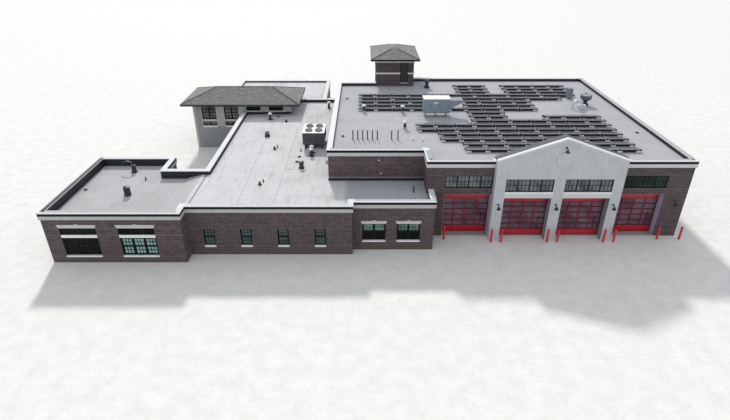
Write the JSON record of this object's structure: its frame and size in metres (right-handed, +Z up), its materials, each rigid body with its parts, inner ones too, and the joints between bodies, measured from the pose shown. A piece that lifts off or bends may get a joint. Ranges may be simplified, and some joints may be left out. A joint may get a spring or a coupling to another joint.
{
  "type": "fire station building, half size scale model",
  "caption": "Single-storey brick fire station with a gabled apparatus front of red sectional doors, flat roofs behind parapets, a hip-roofed hall, a tower and rooftop solar rows, at half size",
  "frame": {"origin": "middle of the bounding box in plan, on the ground", "axes": "+X along the front towards the apparatus bays, +Y from the bay doors to the back, +Z up"},
  "size_m": [28.37, 21.21, 5.8804],
  "materials": {
    "brick": "laid brick with mortar joints",
    "stone": "cut stone, cream, smooth",
    "stucco": "light grey stucco",
    "hall_stucco": "grey stucco",
    "concrete": "floated concrete",
    "membrane": "white roofing membrane, welded seams",
    "shingle": "asphalt shingles",
    "coping": "white folded metal",
    "black_line": "black folded metal",
    "red_door": "red enamel, satin",
    "black_frame": "black powder coat",
    "window_glass": "green tinted glass",
    "door_glass": "clear glass",
    "emblem_disc": "plain disc, satin",
    "dark_door": "dark paint, satin",
    "rack_metal": "mill finish",
    "solar_cell": "dark cells under glass, pale frames",
    "ballast": "cast concrete, pale",
    "unit_metal": "grey blue paint",
    "galvanised": "galvanised",
    "vent_metal": "dark paint",
    "lamp_black": "black powder coat",
    "post_red": "red paint, gloss"
  },
  "bodies": {
    "root": {"low_front_walls": "brick", "low_rear_walls": "brick", "low_side_walls": "brick", "high_front_walls": "brick", "high_side_walls": "brick", "high_rear_walls": "brick", "ground_floor": "concrete", "low_roof_deck": "membrane", "west_roof_deck": "membrane", "high_roof_deck": "membrane", "low_copings": "coping", "high_copings": "coping", "fascia_lines": "black_line", "low_cornice": "stone", "high_cornice": "stone", "stone_trim": "stone", "portal": "stucco", "portal_coping": "coping", "medallion": "emblem_disc", "bay_door_1": "red_door", "bay_door_2": "red_door", "bay_door_3": "red_door", "bay_door_4": "red_door", "bay_door_glass": "door_glass", "transom_frames": "black_frame", "transom_glass": "window_glass", "window_frames": "black_frame", "window_glass": "window_glass", "hall_walls": "hall_stucco", "hall_roof": "shingle", "tower_walls": "brick", "tower_trim": "stone", "tower_door": "dark_door", "tower_roof": "shingle", "solar_racks": "rack_metal", "solar_panels": "solar_cell", "ballast_blocks": "ballast", "roof_unit_high": "unit_metal", "roof_unit_low": "unit_metal", "unit_stands": "galvanised", "roof_vents": "vent_metal", "condensers": "unit_metal", "wall_lamps": "lamp_black", "bollards": "post_red"}
  },
  "joints": []
}
